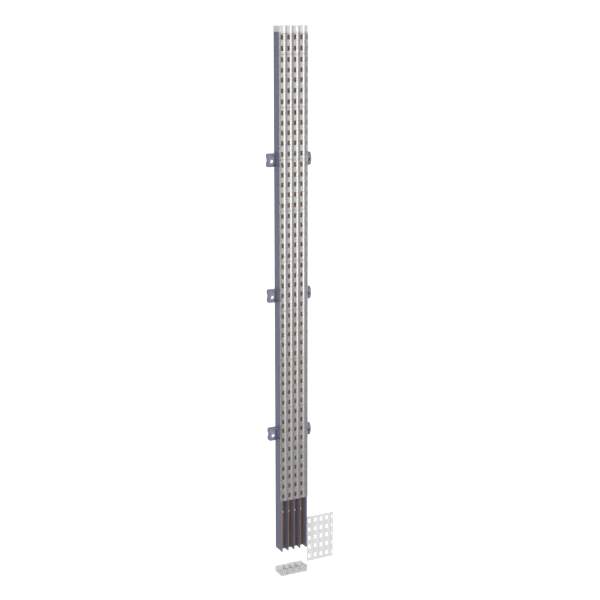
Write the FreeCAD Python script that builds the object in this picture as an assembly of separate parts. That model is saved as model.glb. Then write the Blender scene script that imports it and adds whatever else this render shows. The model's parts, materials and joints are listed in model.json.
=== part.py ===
import FreeCAD, Part
import os

# Insulated busbar trunking, four poles, lying on its back.
# X runs across the poles, Y along the trunking, Z up from the back to the slotted front.
# The origin is the middle of the housing's back.

# Overall sizes
OVERALL_L = 1406.0
CAP_H = 15.5
HOUSING_L = OVERALL_L - 2 * CAP_H
POLES = 4
WALLS = POLES + 1
POLE_PITCH = 18.0

# Housing: one extruded comb with a wall on each side of every bar and a rail along both front edges
DEPTH = 38.5
BACK_T = 5.0
WALL_T = 1.8
HOUSING_W = POLES * POLE_PITCH + WALL_T
RAIL_OUT = 2.0
RAIL_H = 2.5

# Copper bars, laid in the troughs on the housing's back
BAR_SIDE_GAP = 0.3
BAR_W = POLE_PITCH - WALL_T - 2 * BAR_SIDE_GAP
BAR_H = 15.0
BAR_END_GAP = 0.5
BAR_EDGE_R = 0.8
TERMINAL_D = 4.0
TERMINAL_FROM_END = 108.0

# Slotted covers: a thin sheet that lies on the wall edges, arches forward over each bar
# and wraps the housing's rails
COVER_PITCH = 130.6
COVER_GAP = 0.4
COVER_T = 1.0
COVER_FIT = 0.1
SKIRT_X = HOUSING_W / 2 + RAIL_OUT + COVER_FIT + COVER_T
RIB_FROM_WALL = 6.7
RIB_TO_WALL = 1.8
RIB_RISE = 1.8
SLOT_LEFT = WALL_T / 2
SLOT_RIGHT = 6.3
LAST_SLOT_RIGHT = 2.4
SLOT_L = 11.5
SLOT_EDGE = 3.0
SLOT_ROWS = (13.9, 41.1, 67.0, 91.4, 117.0)

# End caps: a tray with a pocket for each pole, and a lip that reaches over the wall edges
LIP = 3.0
CAP_T = 2.0
CAP_HALF = SKIRT_X - COVER_T

# The covers stand in a row from the open end, and the last one is cut to fill up the length
END_LAND = 15.2
COVERED_L = HOUSING_L - END_LAND - LIP
FULL_COVERS = int(COVERED_L // COVER_PITCH)
CUT_L = COVERED_L - FULL_COVERS * COVER_PITCH - COVER_GAP

# Fixing lugs, slid into a groove on each side of the housing: an arched strip with the screw hole,
# held off the housing by two end walls and closed on the outside
LUG_FROM_OPEN_END = 326.5
LUG_MIDDLE = 15.0
LUG_FROM_CAP_END = 320.5
LUG_REACH = 23.3
LUG_L = 33.4
LUG_T = 2.2
LUG_END_H = 13.0
LUG_MID_H = 19.0
LUG_STRIP_W = 13.6
LUG_CORNER_R = 1.8
LUG_HOLE_D = 9.0
LUG_HOLE_OUT = 15.4
LUG_HOLE_DOWN = 1.8
LUG_NOTCH_L = 10.0
LUG_NOTCH_H = 4.0
LUG_FOOT_W = 3.0
LUG_FOOT_T = 3.0
TONGUE_T = 2.0
TONGUE_IN = 2.8
GROOVE_FIT = 0.1
GROOVE_Z = LUG_FOOT_T - TONGUE_T - GROOVE_FIT
GROOVE_H = TONGUE_T + 2 * GROOVE_FIT
GROOVE_IN = TONGUE_IN + GROOVE_FIT

# Where the pieces that are taken off lie on the floor, from the middle and from the open end
OFF_COVER_OUT = 98.0
OFF_COVER_UP = 5.0
OFF_CAP_DROP = 55.0


def point(x, z, y=0.0):
    return FreeCAD.Vector(x, y, z)


def wall_x(index):
    return (index - (WALLS - 1) / 2) * POLE_PITCH


def trough_x(index):
    return wall_x(index) + POLE_PITCH / 2


def box(x0, x1, y0, y1, z0, z1):
    return Part.makeBox(x1 - x0, y1 - y0, z1 - z0, FreeCAD.Vector(x0, y0, z0))


def extrude_along_y(edges, y0, y1):
    face = Part.Face(Part.Wire(edges))
    solid = face.extrude(FreeCAD.Vector(0, y1 - y0, 0))
    solid.translate(FreeCAD.Vector(0, y0, 0))
    return solid


def lines(points):
    return [Part.makeLine(a, b) for a, b in zip(points, points[1:])]


def save(shape, node):
    shape.exportStep("parts/" + node + ".step")


def housing_side(side):
    # One outer side from the back to the front, side is 1 for the right and -1 for the left.
    half = HOUSING_W / 2
    groove_top = GROOVE_Z + GROOVE_H
    path = [(half, 0), (half, GROOVE_Z), (half - GROOVE_IN, GROOVE_Z)]
    path += [(half - GROOVE_IN, groove_top), (half, groove_top)]
    path += [(half, DEPTH - RAIL_H - RAIL_OUT), (half + RAIL_OUT, DEPTH - RAIL_H)]
    path.append((half + RAIL_OUT, DEPTH))
    return [point(side * x, z) for x, z in path]


def make_housing():
    path = housing_side(1)
    for index in reversed(range(POLES)):
        left = wall_x(index) + WALL_T / 2
        right = wall_x(index + 1) - WALL_T / 2
        path += [point(right, DEPTH), point(right, BACK_T)]
        path += [point(left, BACK_T), point(left, DEPTH)]
    path += reversed(housing_side(-1))
    path.append(path[0])
    return extrude_along_y(lines(path), -HOUSING_L / 2, HOUSING_L / 2)


def make_bar(x):
    half_l = HOUSING_L / 2 - BAR_END_GAP
    bar = box(x - BAR_W / 2, x + BAR_W / 2, -half_l, half_l, BACK_T, BACK_T + BAR_H)
    long_edges = [edge for edge in bar.Edges if edge.Length > 2 * half_l - 1]
    bar = bar.makeFillet(BAR_EDGE_R, long_edges)
    place = FreeCAD.Vector(x, TERMINAL_FROM_END - HOUSING_L / 2, BACK_T)
    return bar.cut(Part.makeCylinder(TERMINAL_D / 2, BAR_H, place))


def ribbed_line(half, base, inset):
    # From left to right at height base, with an arch over every bar.
    edges = []
    last = point(-half, base)
    for index in range(POLES):
        left = point(wall_x(index) + RIB_FROM_WALL + inset, base)
        right = point(wall_x(index + 1) - RIB_TO_WALL - inset, base)
        crest = point((left.x + right.x) / 2, base + RIB_RISE)
        edges.append(Part.makeLine(last, left))
        edges.append(Part.Arc(left, crest, right).toShape())
        last = right
    edges.append(Part.makeLine(last, point(half, base)))
    return edges


def cover_section():
    # The wall edges are at Z zero here.
    inner = SKIRT_X - COVER_T
    right = [point(SKIRT_X, COVER_T), point(SKIRT_X, -RAIL_H), point(inner, -RAIL_H), point(inner, 0)]
    left = [point(-corner.x, corner.z) for corner in reversed(right)]
    front = ribbed_line(SKIRT_X, COVER_T, 0)
    behind = ribbed_line(inner, 0, COVER_T)
    return front + lines(right) + behind[::-1] + lines(left)


def cover_openings(rows):
    tools = []
    for y in rows:
        for index in range(WALLS):
            x0 = wall_x(index) - SLOT_LEFT
            x1 = wall_x(index) + (SLOT_RIGHT if index < POLES else LAST_SLOT_RIGHT)
            tools.append(box(x0, x1, y - SLOT_L / 2, y + SLOT_L / 2, -COVER_T, 2 * COVER_T))
    return tools


def make_cover(length):
    rows = [y for y in SLOT_ROWS if y + SLOT_L / 2 + SLOT_EDGE < length]
    sheet = extrude_along_y(cover_section(), 0, length)
    return sheet.cut(Part.makeCompound(cover_openings(rows)))


def make_cap():
    # Its seat on the housing's end is at Y zero, and the lip reaches back over the walls.
    # The wall edges are at Z zero until the last step.
    back = -DEPTH
    sheet = extrude_along_y(cover_section(), -LIP, CAP_H)
    right = [point(SKIRT_X, COVER_T), point(SKIRT_X, -RAIL_H)]
    right += [point(CAP_HALF, -RAIL_H), point(CAP_HALF, back)]
    left = [point(-corner.x, corner.z) for corner in reversed(right)]
    end = extrude_along_y(ribbed_line(SKIRT_X, COVER_T, 0) + lines(right + left), CAP_H - CAP_T, CAP_H)
    pieces = [end, box(-CAP_HALF, CAP_HALF, 0, CAP_H, back, back + CAP_T)]
    pieces.append(box(-CAP_HALF, -CAP_HALF + CAP_T, 0, CAP_H, back, 0))
    pieces.append(box(CAP_HALF - CAP_T, CAP_HALF, 0, CAP_H, back, 0))
    for index in range(1, POLES):
        x = wall_x(index)
        pieces.append(box(x - WALL_T / 2, x + WALL_T / 2, 0, CAP_H, back, 0))
    cap = sheet.multiFuse(pieces).removeSplitter()
    cap.translate(FreeCAD.Vector(0, 0, DEPTH))
    return cap


def arched_block(depth, inset):
    # The lug's outline from the side, with an arched top, drawn out from the housing's side.
    half = LUG_L / 2 - inset
    low = FreeCAD.Vector(0, -half, 0)
    up = FreeCAD.Vector(0, -half, LUG_END_H - inset)
    crown = FreeCAD.Vector(0, 0, LUG_MID_H - inset)
    far_up = FreeCAD.Vector(0, half, LUG_END_H - inset)
    far_low = FreeCAD.Vector(0, half, 0)
    outline = lines([far_up, far_low, low, up])
    outline.append(Part.Arc(up, crown, far_up).toShape())
    return Part.Face(Part.Wire(outline)).extrude(FreeCAD.Vector(depth, 0, 0))


def make_lug():
    # The right-hand lug, with the housing's side at X zero.
    half = LUG_L / 2
    lug = arched_block(LUG_REACH, 0)
    corners = []
    for edge in lug.Edges:
        middle = edge.CenterOfMass
        if abs(middle.x - LUG_REACH) < 0.01 and abs(abs(middle.y) - half) < 0.01:
            corners.append(edge)
    lug = lug.makeFillet(LUG_CORNER_R, corners)
    lug = lug.cut(arched_block(LUG_REACH - LUG_T, LUG_T))
    lug = lug.cut(box(0, LUG_REACH - LUG_STRIP_W, LUG_T - half, half - LUG_T, 0, LUG_MID_H))
    notch = box(LUG_REACH - 2 * LUG_T, LUG_REACH, -LUG_NOTCH_L / 2, LUG_NOTCH_L / 2, 0, LUG_NOTCH_H)
    hole_at = FreeCAD.Vector(LUG_HOLE_OUT, -LUG_HOLE_DOWN, LUG_END_H)
    hole = Part.makeCylinder(LUG_HOLE_D / 2, LUG_MID_H - LUG_END_H, hole_at)
    lug = lug.cut(Part.makeCompound([notch, hole]))
    foot = box(0, LUG_FOOT_W, -half, half, 0, LUG_FOOT_T)
    tongue = box(-TONGUE_IN, 0, -half, half, LUG_FOOT_T - TONGUE_T, LUG_FOOT_T)
    return lug.multiFuse([foot, tongue]).removeSplitter()


os.makedirs("parts", exist_ok=True)

save(make_housing(), "housing")

for index in range(POLES):
    save(make_bar(trough_x(index)), "copper_bar_%d" % (index + 1))

open_end = -HOUSING_L / 2
cap_end = HOUSING_L / 2
first_y = open_end + END_LAND + COVER_GAP / 2

# The cover nearest the open end is taken off.
cover_l = COVER_PITCH - COVER_GAP
cover = make_cover(cover_l)
for index in range(1, FULL_COVERS):
    mounted = cover.copy()
    mounted.translate(FreeCAD.Vector(0, first_y + index * COVER_PITCH, DEPTH))
    save(mounted, "cover_%d" % index)

cut_cover = make_cover(CUT_L)
cut_cover.translate(FreeCAD.Vector(0, first_y + FULL_COVERS * COVER_PITCH, DEPTH))
save(cut_cover, "cover_cut")

off_cover = cover.copy()
off_cover.translate(FreeCAD.Vector(OFF_COVER_OUT, open_end + OFF_COVER_UP - cover_l / 2, RAIL_H))
save(off_cover, "cover_off")

cap = make_cap()
top_cap = cap.copy()
top_cap.translate(FreeCAD.Vector(0, cap_end, 0))
save(top_cap, "end_cap")

off_cap = cap.mirror(FreeCAD.Vector(0, 0, 0), FreeCAD.Vector(0, 1, 0))
off_cap.translate(FreeCAD.Vector(0, open_end - OFF_CAP_DROP, 0))
save(off_cap, "end_cap_off")

lug = make_lug()
lug_places = (open_end + LUG_FROM_OPEN_END, LUG_MIDDLE, cap_end - LUG_FROM_CAP_END)
for index, hole_y in enumerate(lug_places):
    y = hole_y + LUG_HOLE_DOWN
    right = lug.copy()
    right.translate(FreeCAD.Vector(HOUSING_W / 2, y, 0))
    save(right, "lug_right_%d" % (index + 1))
    left = lug.mirror(FreeCAD.Vector(0, 0, 0), FreeCAD.Vector(1, 0, 0))
    left.translate(FreeCAD.Vector(-HOUSING_W / 2, y, 0))
    save(left, "lug_left_%d" % (index + 1))
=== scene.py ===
import json
import math

import bmesh
import bpy
from mathutils import Matrix, Vector


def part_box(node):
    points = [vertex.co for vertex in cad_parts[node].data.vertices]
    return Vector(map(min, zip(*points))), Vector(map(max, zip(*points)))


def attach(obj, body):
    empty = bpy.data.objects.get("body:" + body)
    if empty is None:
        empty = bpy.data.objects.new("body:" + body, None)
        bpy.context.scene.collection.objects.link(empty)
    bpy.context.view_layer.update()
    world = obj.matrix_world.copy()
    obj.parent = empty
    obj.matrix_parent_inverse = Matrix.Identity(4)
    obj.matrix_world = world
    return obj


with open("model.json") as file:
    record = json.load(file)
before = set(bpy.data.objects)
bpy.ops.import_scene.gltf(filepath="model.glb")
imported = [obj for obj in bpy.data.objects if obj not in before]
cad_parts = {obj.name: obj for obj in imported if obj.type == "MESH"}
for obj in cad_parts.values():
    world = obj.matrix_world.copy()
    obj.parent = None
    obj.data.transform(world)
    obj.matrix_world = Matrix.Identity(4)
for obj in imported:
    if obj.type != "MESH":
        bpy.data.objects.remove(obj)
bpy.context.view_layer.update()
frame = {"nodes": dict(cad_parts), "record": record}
nodes = frame["nodes"]

# Lengths are in metres. The part lies on its back on the floor, with its length along Y.

# Camera
CAMERA_AT = Vector((-1.4945, 0.78415, 2.9664))
CAMERA_LOOK = Vector((0.4465, -0.2300, -0.8647))
CAMERA_UP = Vector((0.1055, 0.9731, -0.2044))
LENS_MM = 78.3
SENSOR_MM = 36.0
CLIP_END = 100.0

# Light, floor and background
PANEL_TARGET = Vector((0, 0, 0))
PANEL_UP = Vector((0, 1, 0))
WORLD_LEVEL = 0.1
WORLD_SEEN = 0.92
KEY_RADIANCE = 7.2
KEY_CENTRE = Vector((-0.42, 0.15, 2.262))
KEY_SIZE = (0.96, 2.1)
SIDE_RADIANCE = 5.0
SIDE_CENTRE = Vector((-1.88, 0.1, 2.2))
SIDE_SIZE = (1.6, 2.4)
RIGHT_RADIANCE = 3.6
RIGHT_CENTRE = Vector((1.1, 0.35, 2.2))
RIGHT_SIZE = (0.36, 1.7)
FLOOR_SIDE = 30.0
FLOOR_GLOW = 0.88
FLOOR_SHADE = 0.3

# Terminal screws: socket head cap screws in the bars' tapped holes
POLES = 4
SCREW_HEAD_R = 0.0035
SCREW_HEAD_H = 0.004
SCREW_EDGE = 0.00035
SCREW_SHANK_R = 0.0019
SCREW_SHANK_L = 0.012
SOCKET_ACROSS_FLATS = 0.003
SOCKET_DEPTH = 0.002
KNURLS = 36
KNURL_DEPTH = 0.00009
TERMINAL_FROM_END = 0.108
ROUND_STEPS = 72

# Noise, which mostly stays between its low and high value, and how fine it is
NOISE_LOW = 0.3
NOISE_HIGH = 0.7
NOISE_DETAIL = 4.0
GRAIN_DETAIL = 2.0
DRAWN_DETAIL = 6.0
METAL_DETAIL = 5.0
WHITE = (1, 1, 1)

# In each finish below, a pattern is given as the grains in a metre along X, Y and Z,
# a bump as its strength and its depth, and a roughness as its ends over the pattern.

# Housing
HOUSING_COLOUR = (0.127, 0.132, 0.19)
HOUSING_STREAKS = (0.9, 1.1)
HOUSING_MOTTLE = (0.9, 0.9, 0.92)
HOUSING_LINES = (700, 3, 700)
HOUSING_PATCHES = (25, 9, 25)
HOUSING_ROUGHNESS = (0.42, 0.56)
HOUSING_SPECULAR = 0.35
HOUSING_BUMP = (0.25, 0.00015)

# Lugs
LUG_COLOUR = (0.165, 0.17, 0.235)
LUG_MOTTLE = (0.88, 1.1)
LUG_GRAIN = (1500, 1500, 1500)
LUG_PATCHES = (60, 60, 60)
LUG_ROUGHNESS = (0.4, 0.55)
LUG_SPECULAR = 0.4
LUG_BUMP = (0.3, 0.0002)

# Copper bars. Their colour carries painted shade: darker in the open stretch, lighter under the
# covers, turning over a short way around the first cover's edge.
COPPER_STREAKS = [
    (NOISE_LOW, (0.48, 0.275, 0.155)),
    (0.5, (0.59, 0.335, 0.19)),
    (NOISE_HIGH, (0.7, 0.4, 0.225)),
]
COPPER_FILM = [(0.35, (0.66, 0.6, 0.6)), (0.65, WHITE)]
# Painted shade: this ramp darkens the bars in the open stretch.
COPPER_PAINTED_SHADE = [(0.0, (0.36, 0.32, 0.265)), (1.0, WHITE)]
COPPER_SHADE_OUTSIDE = 0.004
COPPER_LIT_INSIDE = 0.012
COPPER_LINES = (900, 4, 900)
COPPER_PATCHES = (45, 14, 45)
COPPER_ROUGHNESS = (0.4, 0.3)
COPPER_METALLIC = 0.55
COPPER_BUMP = (0.2, 0.0001)

# Covers and caps. A sheet has two faces, so what is behind it shows through both.
COVER_COLOUR = (0.2, 0.195, 0.186)
COVER_ALPHA = 0.45
COVER_COAT_IOR = 2.7
CAP_COLOUR = (0.46, 0.46, 0.455)
CAP_ALPHA = 0.5
CAP_COAT_IOR = 2.2
# The loose cover is the same plastic as the fitted ones; its lighter colour is painted light,
# and its alpha is lower.
LOOSE_COVER_LIT_COLOUR = (0.42, 0.42, 0.41)
LOOSE_COVER_ALPHA = 0.37
LOOSE_COVER_COAT_IOR = 2.0
FROST_MOTTLE = (0.93, 1.05)
FROST_GRAIN = (2500, 2500, 2500)
FROST_FLOW = (90, 18, 90)
FROST_ROUGHNESS = (0.3, 0.38)
FROST_COAT_ROUGHNESS = 0.3
FROST_BUMP = (0.12, 0.0001)
EDGE_ROUND = 0.0009
EDGE_SAMPLES = 6

# Screws
ZINC_COLOURS = [(NOISE_LOW, (0.4, 0.37, 0.33)), (NOISE_HIGH, (0.52, 0.48, 0.43))]
ZINC_PATCHES = (900, 900, 900)
ZINC_ROUGHNESS = (0.22, 0.34)
ZINC_BUMP = (0.1, 0.00005)


def facing(at, back, up):
    # The place and turn of a camera or lamp, which look along their own -Z.
    right = up.cross(back).normalized()
    turn = Matrix((right, back.cross(right), back)).transposed()
    return Matrix.Translation(at) @ turn.to_4x4()


def make_camera():
    data = bpy.data.cameras.new("camera")
    data.lens = LENS_MM
    data.sensor_width = SENSOR_MM
    data.clip_end = CLIP_END
    camera = bpy.data.objects.new("camera", data)
    camera.matrix_world = facing(CAMERA_AT, -CAMERA_LOOK.normalized(), CAMERA_UP)
    bpy.context.scene.collection.objects.link(camera)
    bpy.context.scene.camera = camera


def make_panel(name, centre, size, radiance):
    data = bpy.data.lights.new(name, "AREA")
    data.shape = "RECTANGLE"
    data.size, data.size_y = size
    data.energy = radiance * math.pi * size[0] * size[1]
    lamp = bpy.data.objects.new(name, data)
    lamp.matrix_world = facing(centre, (centre - PANEL_TARGET).normalized(), PANEL_UP)
    lamp.visible_camera = False
    bpy.context.scene.collection.objects.link(lamp)


def larger(tree, first, second):
    node = tree.nodes.new("ShaderNodeMath")
    node.operation = "MAXIMUM"
    tree.links.new(first, node.inputs[0])
    tree.links.new(second, node.inputs[1])
    return node.outputs[0]


def seen_directly(tree):
    # 1 for camera, glossy and transmission rays, 0 for the rays that only carry light.
    path = tree.nodes.new("ShaderNodeLightPath")
    seen = larger(tree, path.outputs["Is Camera Ray"], path.outputs["Is Glossy Ray"])
    return larger(tree, seen, path.outputs["Is Transmission Ray"])


def make_world():
    world = bpy.data.worlds.new("studio")
    bpy.context.scene.world = world
    world.use_nodes = True
    tree = world.node_tree
    background = tree.nodes["Background"]
    background.inputs["Color"].default_value = (*WHITE, 1)
    level = tree.nodes.new("ShaderNodeMapRange")
    level.inputs["To Min"].default_value = WORLD_LEVEL
    level.inputs["To Max"].default_value = WORLD_SEEN
    tree.links.new(seen_directly(tree), level.inputs["Value"])
    tree.links.new(level.outputs["Result"], background.inputs["Strength"])


def floor_material():
    # The grey surface takes light and shadow. The white glow is only seen, directly or in gloss.
    material = bpy.data.materials.new("floor")
    material.use_nodes = True
    tree = material.node_tree
    tree.nodes.remove(tree.nodes["Principled BSDF"])
    diffuse = tree.nodes.new("ShaderNodeBsdfDiffuse")
    diffuse.inputs["Color"].default_value = (FLOOR_SHADE, FLOOR_SHADE, FLOOR_SHADE, 1)
    glow = tree.nodes.new("ShaderNodeEmission")
    level = tree.nodes.new("ShaderNodeMath")
    level.operation = "MULTIPLY"
    level.inputs[1].default_value = FLOOR_GLOW
    tree.links.new(seen_directly(tree), level.inputs[0])
    tree.links.new(level.outputs[0], glow.inputs["Strength"])
    both = tree.nodes.new("ShaderNodeAddShader")
    tree.links.new(diffuse.outputs[0], both.inputs[0])
    tree.links.new(glow.outputs[0], both.inputs[1])
    tree.links.new(both.outputs[0], tree.nodes["Material Output"].inputs["Surface"])
    return material


def make_floor():
    mesh = bpy.data.meshes.new("floor")
    half = FLOOR_SIDE / 2
    corners = [(-half, -half, 0), (half, -half, 0), (half, half, 0), (-half, half, 0)]
    mesh.from_pydata(corners, [], [(0, 1, 2, 3)])
    mesh.materials.append(floor_material())
    floor = bpy.data.objects.new("floor", mesh)
    bpy.context.scene.collection.objects.link(floor)


def new_material(name):
    material = bpy.data.materials.new(name)
    material.use_nodes = True
    return material, material.node_tree, material.node_tree.nodes["Principled BSDF"]


def noise(tree, grains, detail=NOISE_DETAIL):
    place = tree.nodes.new("ShaderNodeTexCoord")
    stretch = tree.nodes.new("ShaderNodeMapping")
    stretch.inputs["Scale"].default_value = grains
    texture = tree.nodes.new("ShaderNodeTexNoise")
    texture.inputs["Scale"].default_value = 1.0
    texture.inputs["Detail"].default_value = detail
    tree.links.new(place.outputs["Object"], stretch.inputs["Vector"])
    tree.links.new(stretch.outputs["Vector"], texture.inputs["Vector"])
    return texture.outputs["Fac"]


def ramp(tree, value, stops):
    # A new ramp has two stops. Further ones start halfway, and all get their places below.
    node = tree.nodes.new("ShaderNodeValToRGB")
    elements = node.color_ramp.elements
    while len(elements) < len(stops):
        elements.new(0.5)
    for element, (position, colour) in zip(elements, stops):
        element.position = position
        element.color = (*colour, 1)
    tree.links.new(value, node.inputs["Fac"])
    return node.outputs["Color"]


def shades(colour, factors):
    # Ramp stops from a darker to a lighter shade of the colour.
    dark, light = (tuple(channel * factor for channel in colour) for factor in factors)
    return [(NOISE_LOW, dark), (NOISE_HIGH, light)]


def map_range(tree, value, low, high):
    node = tree.nodes.new("ShaderNodeMapRange")
    node.inputs["From Min"].default_value = low
    node.inputs["From Max"].default_value = high
    tree.links.new(value, node.inputs["Value"])
    return node


def set_roughness(tree, shader, pattern, ends):
    node = map_range(tree, pattern, NOISE_LOW, NOISE_HIGH)
    node.inputs["To Min"].default_value, node.inputs["To Max"].default_value = ends
    tree.links.new(node.outputs["Result"], shader.inputs["Roughness"])


def multiply_colours(tree, first, second):
    node = tree.nodes.new("ShaderNodeMix")
    node.data_type = "RGBA"
    node.blend_type = "MULTIPLY"
    node.inputs["Factor"].default_value = 1.0
    tree.links.new(first, node.inputs["A"])
    tree.links.new(second, node.inputs["B"])
    return node.outputs["Result"]


def bump(tree, shader, height, amount):
    node = tree.nodes.new("ShaderNodeBump")
    node.inputs["Strength"].default_value, node.inputs["Distance"].default_value = amount
    tree.links.new(height, node.inputs["Height"])
    tree.links.new(node.outputs["Normal"], shader.inputs["Normal"])
    return node


def soften_edges(tree, shader, bump_node):
    # The moulded edges are a little round, which catches the light.
    edge = tree.nodes.new("ShaderNodeBevel")
    edge.samples = EDGE_SAMPLES
    edge.inputs["Radius"].default_value = EDGE_ROUND
    tree.links.new(edge.outputs["Normal"], bump_node.inputs["Normal"])
    tree.links.new(edge.outputs["Normal"], shader.inputs["Coat Normal"])


def extruded_plastic(name):
    material, tree, shader = new_material(name)
    lines = noise(tree, HOUSING_LINES)
    patches = noise(tree, HOUSING_PATCHES)
    streaks = ramp(tree, lines, shades(HOUSING_COLOUR, HOUSING_STREAKS))
    mottle = ramp(tree, patches, [(NOISE_LOW, HOUSING_MOTTLE), (NOISE_HIGH, WHITE)])
    tree.links.new(multiply_colours(tree, streaks, mottle), shader.inputs["Base Color"])
    set_roughness(tree, shader, patches, HOUSING_ROUGHNESS)
    shader.inputs["Specular IOR Level"].default_value = HOUSING_SPECULAR
    bump(tree, shader, lines, HOUSING_BUMP)
    return material


def moulded_plastic(name):
    material, tree, shader = new_material(name)
    grain = noise(tree, LUG_GRAIN, GRAIN_DETAIL)
    patches = noise(tree, LUG_PATCHES)
    mottle = ramp(tree, patches, shades(LUG_COLOUR, LUG_MOTTLE))
    tree.links.new(mottle, shader.inputs["Base Color"])
    set_roughness(tree, shader, grain, LUG_ROUGHNESS)
    shader.inputs["Specular IOR Level"].default_value = LUG_SPECULAR
    bump(tree, shader, grain, LUG_BUMP)
    return material


def drawn_copper(name, covered_from):
    # The bars' colour carries painted shade, darker in the open stretch before covered_from and
    # lighter under the covers.
    material, tree, shader = new_material(name)
    lines = noise(tree, COPPER_LINES, DRAWN_DETAIL)
    tarnish = noise(tree, COPPER_PATCHES, METAL_DETAIL)
    streaks = ramp(tree, lines, COPPER_STREAKS)
    unshaded = multiply_colours(tree, streaks, ramp(tree, tarnish, COPPER_FILM))
    place = tree.nodes.new("ShaderNodeTexCoord")
    along = tree.nodes.new("ShaderNodeSeparateXYZ")
    tree.links.new(place.outputs["Object"], along.inputs["Vector"])
    shaded_to = covered_from - COPPER_SHADE_OUTSIDE
    lit_from = covered_from + COPPER_LIT_INSIDE
    # Painted shade: full colour under the covers, darkened in the open stretch.
    painted_shade_blend = map_range(tree, along.outputs["Y"], shaded_to, lit_from)
    painted_shade = ramp(tree, painted_shade_blend.outputs["Result"], COPPER_PAINTED_SHADE)
    tree.links.new(multiply_colours(tree, unshaded, painted_shade), shader.inputs["Base Color"])
    shader.inputs["Metallic"].default_value = COPPER_METALLIC
    set_roughness(tree, shader, tarnish, COPPER_ROUGHNESS)
    bump(tree, shader, lines, COPPER_BUMP)
    return material


def frosted_plastic(name, colour, alpha, coat_ior):
    material, tree, shader = new_material(name)
    grain = noise(tree, FROST_GRAIN, GRAIN_DETAIL)
    flow = noise(tree, FROST_FLOW)
    mottle = ramp(tree, flow, shades(colour, FROST_MOTTLE))
    tree.links.new(mottle, shader.inputs["Base Color"])
    set_roughness(tree, shader, flow, FROST_ROUGHNESS)
    shader.inputs["Alpha"].default_value = alpha
    shader.inputs["Coat Weight"].default_value = 1.0
    shader.inputs["Coat Roughness"].default_value = FROST_COAT_ROUGHNESS
    shader.inputs["Coat IOR"].default_value = coat_ior
    shader.inputs["Specular IOR Level"].default_value = 1.0
    soften_edges(tree, shader, bump(tree, shader, grain, FROST_BUMP))
    return material


def zinc_steel(name):
    material, tree, shader = new_material(name)
    patches = noise(tree, ZINC_PATCHES, METAL_DETAIL)
    tree.links.new(ramp(tree, patches, ZINC_COLOURS), shader.inputs["Base Color"])
    set_roughness(tree, shader, patches, ZINC_ROUGHNESS)
    shader.inputs["Metallic"].default_value = 1.0
    bump(tree, shader, patches, ZINC_BUMP)
    return material


def ring(mesh, radius, z, knurled=False):
    made = []
    for step in range(ROUND_STEPS):
        turn = 2 * math.pi * step / ROUND_STEPS
        reach = radius
        if knurled and step % (ROUND_STEPS // KNURLS):
            reach -= KNURL_DEPTH
        made.append(mesh.verts.new((reach * math.cos(turn), reach * math.sin(turn), z)))
    return made


def hex_ring(mesh, across_flats, z):
    made = []
    sixth = math.pi / 3
    for step in range(ROUND_STEPS):
        turn = 2 * math.pi * step / ROUND_STEPS
        to_flat = (turn + sixth / 2) % sixth - sixth / 2
        reach = across_flats / 2 / math.cos(to_flat)
        made.append(mesh.verts.new((reach * math.cos(turn), reach * math.sin(turn), z)))
    return made


def skin(mesh, rings):
    for low, high in zip(rings, rings[1:]):
        for step in range(ROUND_STEPS):
            after = (step + 1) % ROUND_STEPS
            mesh.faces.new((low[step], low[after], high[after], high[step]))


def place_piece(name, mesh, at, material):
    bmesh.ops.recalc_face_normals(mesh, faces=mesh.faces)
    bmesh.ops.translate(mesh, verts=mesh.verts, vec=at)
    data = bpy.data.meshes.new(name)
    mesh.to_mesh(data)
    mesh.free()
    data.materials.append(material)
    piece = bpy.data.objects.new(name, data)
    bpy.context.scene.collection.objects.link(piece)
    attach(piece, "root")


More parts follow.
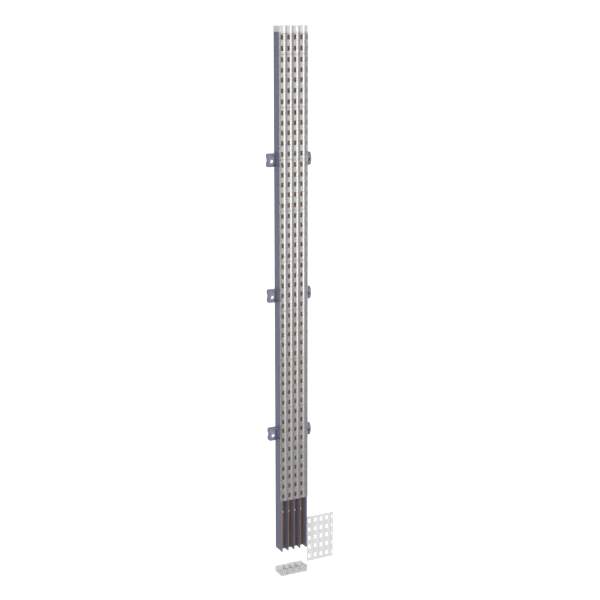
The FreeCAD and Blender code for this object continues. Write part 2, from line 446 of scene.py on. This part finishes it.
def make_screw(name, at, material):
    # at is on the top of the bar, and the shank goes down into its hole.
    mesh = bmesh.new()
    head_r = SCREW_HEAD_R
    top = SCREW_HEAD_H
    rings = [
        ring(mesh, SCREW_SHANK_R, -SCREW_SHANK_L),
        ring(mesh, SCREW_SHANK_R, 0),
        ring(mesh, head_r - SCREW_EDGE, 0),
        ring(mesh, head_r, SCREW_EDGE, True),
        ring(mesh, head_r, top - 2 * SCREW_EDGE, True),
        ring(mesh, head_r - SCREW_EDGE, top - SCREW_EDGE / 2),
        ring(mesh, head_r - 2 * SCREW_EDGE, top),
        hex_ring(mesh, SOCKET_ACROSS_FLATS + SCREW_EDGE, top),
        hex_ring(mesh, SOCKET_ACROSS_FLATS, top - SCREW_EDGE / 2),
        hex_ring(mesh, SOCKET_ACROSS_FLATS, top - SOCKET_DEPTH),
    ]
    skin(mesh, rings)
    mesh.faces.new(rings[0])
    mesh.faces.new(rings[-1])
    place_piece(name, mesh, at, material)


def make_terminals(material):
    terminal_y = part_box("housing")[0].y + TERMINAL_FROM_END
    for pole in range(1, POLES + 1):
        low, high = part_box("copper_bar_%d" % pole)
        seat = Vector(((low.x + high.x) / 2, terminal_y, high.z))
        make_screw("terminal_screw_%d" % pole, seat, material)


def dress_nodes(materials):
    # A material named after a node comes before the one of the node's slot.
    slots = {part["node"]: part["material_slot"] for part in frame["record"]["subparts"]}
    for name, node in nodes.items():
        node.data.materials.clear()
        node.data.materials.append(materials.get(name) or materials[slots[name]])


make_camera()
make_world()
make_floor()
make_panel("key", KEY_CENTRE, KEY_SIZE, KEY_RADIANCE)
make_panel("side", SIDE_CENTRE, SIDE_SIZE, SIDE_RADIANCE)
make_panel("right", RIGHT_CENTRE, RIGHT_SIZE, RIGHT_RADIANCE)

dress_nodes({
    "housing": extruded_plastic("slate_extrusion"),
    "copper": drawn_copper("drawn_copper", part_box("cover_1")[0].y),
    "cover": frosted_plastic("frosted_cover", COVER_COLOUR, COVER_ALPHA, COVER_COAT_IOR),
    "cap": frosted_plastic("frosted_cap", CAP_COLOUR, CAP_ALPHA, CAP_COAT_IOR),
    # The loose cover's lighter colour is painted light.
    "cover_off": frosted_plastic(
        "cover_off_painted_lighter", LOOSE_COVER_LIT_COLOUR, LOOSE_COVER_ALPHA, LOOSE_COVER_COAT_IOR
    ),
    "lug": moulded_plastic("slate_lug"),
})
make_terminals(zinc_steel("zinc_steel"))

bpy.context.scene.view_settings.view_transform = "Standard"
